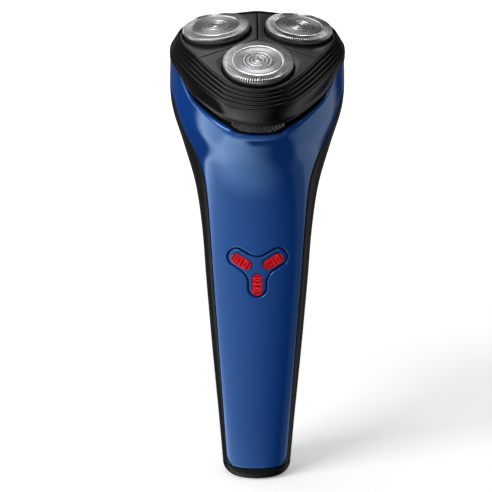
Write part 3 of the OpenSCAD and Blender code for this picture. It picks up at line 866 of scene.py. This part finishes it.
def head_ring_profile():
    """(r, w) of the head frame's wall, from under the plates over the ridges to the lip and back."""
    top, foot, ridges = np.array([12.72, -1.75]), np.array([15.98, -7.0]), 5
    slope = (foot - top) / np.linalg.norm(foot - top)
    out = np.array([-slope[1], slope[0]])
    profile = [(12.66, -3.4), (12.66, -2.1)]
    shape = [(0.0, -0.12), (0.04, -0.04), (0.08, 0.10), (0.13, 0.20), (0.20, 0.27), (0.28, 0.30),
             (0.38, 0.29), (0.56, 0.20), (0.74, 0.08), (0.90, -0.06), (0.96, -0.12)]
    for i in range(ridges):
        for t, rise in shape:
            p = top + (foot - top) * (i + t) / ridges + out * rise
            profile.append((p[0], p[1]))
    profile += [
        (15.98, -7.0), (16.04, -7.3), (16.06, -8.0), (16.04, -9.0), (15.98, -10.0), (15.90, -10.9),
        (15.84, -11.5), (15.86, -11.95), (15.98, -12.3), (16.08, -12.6), (16.08, -12.8),
        (15.98, -12.94), (15.8, LIP_W), (14.4, LIP_W), (14.22, -12.8), (14.2, -7.6),
        (12.66, -7.6), (12.66, -3.4),
    ]
    return profile


def head_frame():
    """Black ring of the head with stepped ridges, and its two hinge knuckles."""
    rings = []
    lobe_height = PLATE_W - PLATE_R * math.tan(math.radians(UNIT_TILT))
    side = plate_height(tri_loop(PLATE_R, PLATE_BULGE)) - lobe_height
    for r, w in head_ring_profile():
        loop = tri_loop(r, PLATE_BULGE - 0.5 * float(np.clip((-1.7 - w) / 5.3, 0, 1)))
        up = side * float(ease((w + 7.0) / 5.2)) + lift(loop[:, 1]) * float(ease((-7.0 - w) / 5.8))
        rings.append(np.column_stack([loop, w + up]))
    wall = (np.concatenate(rings), ring_faces(len(rings), len(rings[0])))
    parts = [(in_head(wall[0]), wall[1])]
    for end in (-1, 1):
        parts.append(knuckle(end * 7.3, 4.0, 0.8, HINGE_W + 0.3, HINGE_W + 2.3, 23.0))
    piece("head_frame_ring", joined(parts), "band", "head", ["head_frame"], 50)


def knuckle(u, width, bore, web_low, web_high, web_from):
    """Rounded hinge knuckle with a bore and its web, along X in the head frame."""
    r, n = KNUCKLE_R, 48
    verts = []
    for x, rr in (
        (-0.5, bore), (-0.5, r - 0.2), (-0.46, r - 0.06), (-0.42, r),
        (0.42, r), (0.46, r - 0.06), (0.5, r - 0.2), (0.5, bore), (-0.5, bore),
    ):
        for k in range(n):
            t = 2 * math.pi * k / n
            verts.append((u + x * width, HINGE_V + rr * math.cos(t), HINGE_W + rr * math.sin(t)))
    ring = (np.array(verts), ring_faces(9, n))
    box = block((u - width / 2, web_from, web_low), (u + width / 2, HINGE_V - 1.0, web_high))
    verts, faces = joined([ring, box])
    return in_head(verts), faces


def top_plate(unit):
    """Satin plate round one cap, flat, with rounded edges."""
    g, r, b = 0.2, PLATE_R, PLATE_BULGE
    x, beta = tri_side(b)
    reach = UNIT_A / 2 + r + b
    apex = np.array([g / math.sin(math.radians(60)) - UNIT_A, 0.0])
    corner = np.array([reach * 0.5 - UNIT_A + g * 0.87, reach * math.sin(math.radians(60)) - g * 0.5])
    centre = -(x - UNIT_A / 2) * np.array([0.5, math.sin(math.radians(60))]) - (UNIT_A, 0)
    side = [
        centre + (r + x + b) * np.array([math.cos(e), math.sin(e)])
        for e in np.radians(60 - np.linspace(0, beta, 14))[1:]
    ]
    lobe = [
        r * np.array([math.cos(e), math.sin(e)])
        for e in np.radians(np.linspace(60 - beta, 0, 26))[1:]
    ]
    edge = [apex + (corner - apex) * k / 20 for k in range(20)] + [corner] + side + lobe
    half = np.array(edge)
    outline = np.concatenate([half, half[-2:0:-1] * (1, -1)])[::-1]
    length = np.linalg.norm(outline, axis=1, keepdims=True)
    unit_dir = outline / length
    hole = CAP_R + 0.35
    rings = []
    thick, round_edge = 1.2, 0.30
    for kind, d, w in (
        ("hole", 0.0, -thick), ("hole", 0.0, -0.3), ("hole", 0.06, -0.1), ("hole", 0.22, 0.0),
        ("mix", 0.35, 0.0), ("mix", 0.7, 0.0), ("edge", round_edge, 0.0), ("edge", 0.10, -0.06),
        ("edge", 0.0, -0.25), ("edge", 0.0, -thick), ("hole", 0.0, -thick),
    ):
        if kind == "hole":
            p = unit_dir * (hole + d)
        elif kind == "edge":
            p = unit_dir * (length - d)
        else:
            p = unit_dir * ((hole + 0.22) * (1 - d) + (length - round_edge) * d)
        rings.append(np.column_stack([p, np.full(len(p), PLATE_W + w)]))
    verts = in_unit(np.concatenate(rings), unit)
    name = f"top_plate_{unit + 1}"
    piece(name + "_panel", (verts, ring_faces(len(rings), len(outline))), "plate", "head", [name], 35)


# ---------------------------------------------------------------- shaving units
def cap_bars():
    """The comb of one cap: a bar between every two slots, running over the outer bevel."""
    pitch = 2 * math.pi / SLOTS
    top = [(7.95, 0.95), (9.6, 0.97), (10.55, 0.93), (10.95, 0.78), (11.2, 0.45), (CAP_R, 0.1), (CAP_R, -0.5)]
    low = [(10.7, -0.5), (10.6, 0.3), (10.3, 0.5), (7.95, 0.5)]
    verts, faces = [], []
    loop = top + low
    n = len(loop)
    # the bars keep one width beyond this radius
    parallel_from = 9.4
    for k in range(SLOTS):
        mid = pitch * (k + 0.5)
        base = len(verts)
        for wide, drop in ((0.16, 0.10), (0.11, 0.0), (-0.11, 0.0), (-0.16, 0.10)):
            for i, (r, w) in enumerate(loop):
                a = mid + pitch * wide * min(parallel_from / r, 1.0)
                dr, dw = (0.0, drop) if i < len(top) else (0.0, 0.0)
                if 3 <= i < len(top):
                    dr, dw = drop * 0.7, drop * 0.3
                verts.append(((r - dr) * math.cos(a), (r - dr) * math.sin(a), w - dw))
        for row in (base, base + n, base + 2 * n):
            faces += [(row + i, row + n + i, row + n + (i + 1) % n, row + (i + 1) % n) for i in range(n)]
        faces.append(tuple(base + i for i in range(n)))
        faces.append(tuple(base + 3 * n + i for i in range(n - 1, -1, -1)))
    return np.array(verts, float), faces


def turned_rings(outer, inner, count):
    """Shallow grooves of the lathe, from the outer radius inwards."""
    pitch = (outer - inner) / count
    return [
        (outer - pitch * (i + t), 0.83 - drop)
        for i in range(count) for t, drop in ((0.1, 0.0), (0.35, 0.045), (0.6, 0.045), (0.85, 0.0))
    ]


def shaving_cap(unit):
    """Slotted guard with its inner ring, a dark holder under it, and the turned disc inside. The holder's
    dark colour is painted shade: a dark ring under the slots and a dark wall round the cap, where shade
    falls.
    """
    steps = 180
    ring = lathe([
        (7.5, 0.2), (8.15, 0.45), (8.25, 0.7), (8.22, 0.86), (8.1, 0.93), (7.95, 0.95), (7.84, 0.9),
        (7.78, 0.75), (7.75, 0.55), (7.5, 0.5), (7.5, 0.2),
    ], steps)
    # painted shade: a dark ring under the slots and a dark wall round the cap, put where shade falls
    holder_painted_shade = lathe([
        (8.3, 0.1), (10.4, 0.1), (10.62, -0.45), (11.0, -0.6), (11.2, -0.7), (CAP_R, -0.85), (CAP_R, -3.9),
        (12.2, -3.9), (12.2, -4.5), (10.62, -4.5), (10.4, -0.15), (8.3, -0.15), (8.3, 0.1),
    ], steps)
    name = f"shaving_cap_{unit + 1}"
    verts, faces = joined([cap_bars(), ring])
    piece(name + "_guard", (in_cap(verts, unit), faces), "cap", f"unit_{unit + 1}", [name], 40)
    piece(f"cap_holder_painted_shade_{unit + 1}", (in_cap(holder_painted_shade[0], unit), holder_painted_shade[1]), "holder_painted_shade", f"unit_{unit + 1}")
    disc = lathe([
        (0, 0.25), (7.45, 0.25), (7.5, 0.3), (7.5, 0.70), (7.44, 0.78), (7.3, 0.82), (7.1, 0.83),
        *turned_rings(7.0, 5.25, 7), (5.15, 0.83), (5.0, 0.80), (4.93, 0.72), (4.93, 0.6), (0, 0.6),
    ], steps)
    piece(f"cap_disc_{unit + 1}", (in_cap(disc[0], unit), disc[1]), "disc", f"unit_{unit + 1}", (), 40)


def cap_badge(unit):
    """Plain round centre of a cap, with turned rings."""
    profile = [(0, 0.6), (4.8, 0.6), (4.86, 0.64), (4.86, 0.84), (4.8, 0.93), (4.65, 0.97), (4.35, 0.98)]
    for mid, half in ((3.7, 0.30), (2.45, 0.22), (1.3, 0.22)):
        profile += [
            (mid + half + 0.06, 0.98), (mid + half, 0.94), (mid + half * 0.7, 0.78), (mid, 0.74),
            (mid - half * 0.7, 0.78), (mid - half, 0.94), (mid - half - 0.06, 0.98),
        ]
    profile.append((0, 0.98))
    verts, faces = lathe(profile, 120)
    name = f"cap_badge_{unit + 1}"
    piece(name + "_disc", (in_cap(verts, unit), faces), "badge", f"unit_{unit + 1}", [name], 40)


def release_button():
    """Curved key under the head, ribbed on the slant for the thumb."""
    cols, rows, half = 420, 22, 8.4
    low_w, high_w, back_r = -16.5, -13.7, 13.6
    rib_pitch, rib_height = 1.12, 0.24
    verts = []
    for i in range(rows + 3):
        t = min(i, rows) / rows
        for j in range(cols + 1):
            x = half * (2 * j / cols - 1)
            low = low_w + 1.1 * max(0.0, (abs(x) - 5.5) / 2.9)
            w = low + (high_w - low) * t
            edge = min(1.0, min(t, 1 - t) * 9, (half - abs(x)) * 3)
            wave = math.cos(2 * math.pi * (x + 0.62 * (w + 15)) / rib_pitch)
            rib = rib_height * max(-0.55, wave) * ease(edge)
            r = 14.3 + 0.25 * (w - low_w) + rib - 0.35 * (1 - edge) ** 2
            if i > rows:
                r, w = back_r, (high_w if i == rows + 1 else low)
            verts.append((x, -UNIT_A - math.sqrt(r * r - x * x), w))
    n = cols + 1
    faces = ring_faces(rows + 3, n, wrap=False)
    faces += [(j, j + 1, (rows + 2) * n + j + 1, (rows + 2) * n + j) for j in range(cols)]
    for j, turn in ((0, 1), (cols, -1)):
        faces.append(tuple(i * n + j for i in range(rows + 3))[::turn])
    stem = block((-3.7, -UNIT_A - 13.9, -16.4), (3.7, -UNIT_A - 7.6, -15.2))
    verts, faces = joined([(np.array(verts), faces), stem])
    piece("release_button_key", (in_head(verts), faces), "key", "release_key", ["release_button"], 60)


front_cover()
back_housing()
base_cap()
release_button()
button_plate()
button_grips()
head_frame()
for number in range(3):
    top_plate(number)
    shaving_cap(number)
    cap_badge(number)

for names, key in (
    (("hair_chamber",), "satin"),
    (("charging_socket",), "black"),
    (("charging_pins",), "brass"),
    (("inner_chassis", "retaining_lock"), "grey"),
    (("chassis_screws", "plate_screws", "hinge_pin", "motor_shaft"), "steel"),
    (("cutter_1", "cutter_2", "cutter_3"), "steel"),
    (("gear_plate", "motor_can"), "zinc"),
    (("motor_end_bell", "board_parts", "switch_base"), "part"),
    (("battery_cell",), "cell"),
    (("battery_tabs",), "nickel"),
    (("circuit_board",), "board"),
    (("switch_plunger",), "switch"),
    (("retaining_frame",), "frame"),
    (("motor_pinion", "drive_gear_1", "drive_gear_2", "drive_gear_3"), "gear"),
    (("drive_spindle_1", "drive_spindle_2", "drive_spindle_3"), "gear"),
):
    for name in names:
        repaint(name, key)


# ---------------------------------------------------------------- studio
def studio_level(azimuth, elevation):
    """Brightness of the studio as glossy surfaces see it. Azimuth 0 is the camera, minus is left."""
    # broad panel from the left to the front, brighter and cut short where it hangs low
    upright = np.interp(
        azimuth, (-110, -105, -95, -82, -68, -37, 0, 30, 50, 60),
        (0, 3.6, 2.4, 1.6, 1.35, 0.95, 0.5, 0.18, 0.02, 0),
    )
    sloped = np.interp(azimuth, (-106, -101, -95, -37, 0, 38, 55), (0, 4.6, 4.2, 2.4, 1.5, 0.3, 0))
    low = np.interp(elevation, (-45, -30), (1, 0))
    main = (sloped * low + upright * (1 - low)) * np.interp(elevation, (-79, -75, 28, 40), (0, 1, 1, 0))
    # faint strip at the right
    strip = np.interp(azimuth, (66, 74, 92, 98, 124, 132), (0, 0.2, 0.3, 0.75, 0.75, 0))
    strip = strip * np.interp(elevation, (-50, -40, 5, 15), (0, 1, 1, 0))
    # dim panel behind the object
    back = np.interp((azimuth + 360) % 360, (140, 155, 215, 235), (0, 0.2, 0.08, 0))
    back = back * np.interp(elevation, (-70, 20, 40), (1, 1, 0))
    # overhead, by how far it lies to the side
    sideways = math.cos(math.radians(elevation)) * math.sin(math.radians(azimuth))
    over = np.interp(sideways, (-0.3, -0.1, -0.02, 0.05, 0.1, 0.3), (1.2, 1.7, 0.9, 0.25, 0.2, 0.5))
    over = over * np.interp(elevation, (50, 60), (0, 1))
    # bright band high in front, for the caps, and a spot at the upper left
    high = 10.0 * np.interp(azimuth, (-72, -60, 60, 72), (0, 1, 1, 0))
    high = high * np.interp(elevation, (61, 64, 72, 75), (0, 1, 1, 0))
    spot = 8.0 * np.interp(azimuth, (-75, -60, -25, -10), (0, 1, 1, 0))
    spot = spot * np.interp(elevation, (22, 30, 46, 54), (0, 1, 1, 0))
    return 0.02 + spot + main + strip + back + over + high


def studio_dome():
    """Sphere of 1 m that only glossy surfaces see, lit by studio_level()."""
    middle = 0.09
    az, el = np.linspace(-180, 180, 145)[:-1], np.linspace(-88, 88, 73)
    verts, level = [], []
    for e in el:
        c, s = cos_sin(e)
        for a in az:
            y, x = cos_sin(a)
            verts.append((c * x, -c * y, middle + s))
            level.append(studio_level(a, e))
    data = new_mesh("studio_dome", verts, ring_faces(len(el), len(az)))
    data.attributes.new("level", "FLOAT", "POINT").data.foreach_set("value", np.array(level, np.float32))
    mat = bpy.data.materials.new("studio_dome")
    mat.use_nodes = True
    tree = mat.node_tree
    tree.nodes.clear()
    attribute, emit, out = (
        tree.nodes.new("ShaderNode" + kind) for kind in ("Attribute", "Emission", "OutputMaterial")
    )
    attribute.attribute_name = "level"
    emit.inputs["Color"].default_value = (1, 1, 1, 1)
    tree.links.new(attribute.outputs["Fac"], emit.inputs["Strength"])
    tree.links.new(emit.outputs[0], out.inputs[0])
    data.materials.append(mat)
    obj = new_object("studio_dome", data)
    for ray in ("camera", "diffuse", "shadow", "transmission", "volume_scatter"):
        setattr(obj, "visible_" + ray, False)


def area_light(name, place, size, power):
    """Square lamp that shines on the middle of the object."""
    data = bpy.data.lights.new(name, "AREA")
    data.shape = "RECTANGLE"
    data.size = data.size_y = size
    data.energy = power
    obj = new_object(name, data)
    obj.location = place
    obj.rotation_euler = (Vector((0, 0, 0.09)) - Vector(place)).to_track_quat("-Z", "Y").to_euler()
    obj.visible_glossy = False
    obj.visible_camera = False


def backdrop():
    """White floor that curves up into a wall all round."""
    steps, bend, reach, height = 12, 0.6, 0.9, 2.4
    profile = [(0, 0), (0.15, 0), (0.4, 0), (reach, 0)]
    profile += [
        (reach + bend * math.sin(a), bend - bend * math.cos(a))
        for a in (math.pi / 2 * (k + 1) / steps for k in range(steps))
    ] + [(reach + bend, height)]
    data = new_mesh("backdrop", *lathe(profile, 96))
    smooth(data)
    obj = new_object("backdrop", data)
    m = Nodes("backdrop_white", Roughness=1.0, Specular_IOR_Level=0.0, Emission_Color=(1, 1, 1, 1))
    m.colour(m.ramp(m.noise(3.0), 0.0, 1.0, (0.80, 0.80, 0.80), (0.82, 0.82, 0.82)))
    far = m.add("ShaderNodeVectorMath", {0: m.coord}, operation="LENGTH").outputs["Value"]
    m.tree.links.new(m.ramp(far, 0.15, 1.1, 0.32, 0.9), m.bsdf.inputs["Emission Strength"])
    data.materials.append(m.mat)
    obj.visible_glossy = False
    obj.visible_diffuse = False


def world():
    """White behind the object, dark in its reflections, soft on its diffuse side."""
    w = bpy.data.worlds.new("studio")
    bpy.context.scene.world = w
    w.use_nodes = True
    tree = w.node_tree
    tree.nodes.clear()
    path = tree.nodes.new("ShaderNodeLightPath")
    out = tree.nodes.new("ShaderNodeOutputWorld")

    def background(level):
        node = tree.nodes.new("ShaderNodeBackground")
        node.inputs["Color"].default_value = (1, 1, 1, 1)
        node.inputs["Strength"].default_value = level
        return node.outputs[0]

    def either(ray, other, chosen):
        node = tree.nodes.new("ShaderNodeMixShader")
        for k, source in enumerate((path.outputs[ray], other, chosen)):
            tree.links.new(source, node.inputs[k])
        return node.outputs[0]

    unseen = either("Is Glossy Ray", background(0.35), background(0.012))
    tree.links.new(either("Is Camera Ray", unseen, background(1.0)), out.inputs[0])


def camera():
    data = bpy.data.cameras.new("camera")
    data.lens, data.sensor_width = 70.0, 36.0
    data.clip_start, data.clip_end = 0.01, 50.0
    obj = new_object("camera", data)
    aim, distance, look_down = Vector((-0.00387, 0, 0.08258)), 0.3354, math.radians(10)
    obj.location = aim + distance * Vector((0, -math.cos(look_down), math.sin(look_down)))
    obj.rotation_euler = (aim - obj.location).to_track_quat("-Z", "Y").to_euler()
    bpy.context.scene.camera = obj


world()
backdrop()
studio_dome()
area_light("key", (-0.8, -0.6, 0.75), 0.6, 12.0)
area_light("fill", (0.7, -0.8, 0.4), 0.8, 0.6)
area_light("top", (-0.2, 0.1, 1.1), 0.7, 2.0)
camera()
bpy.context.scene.view_settings.view_transform = "Standard"
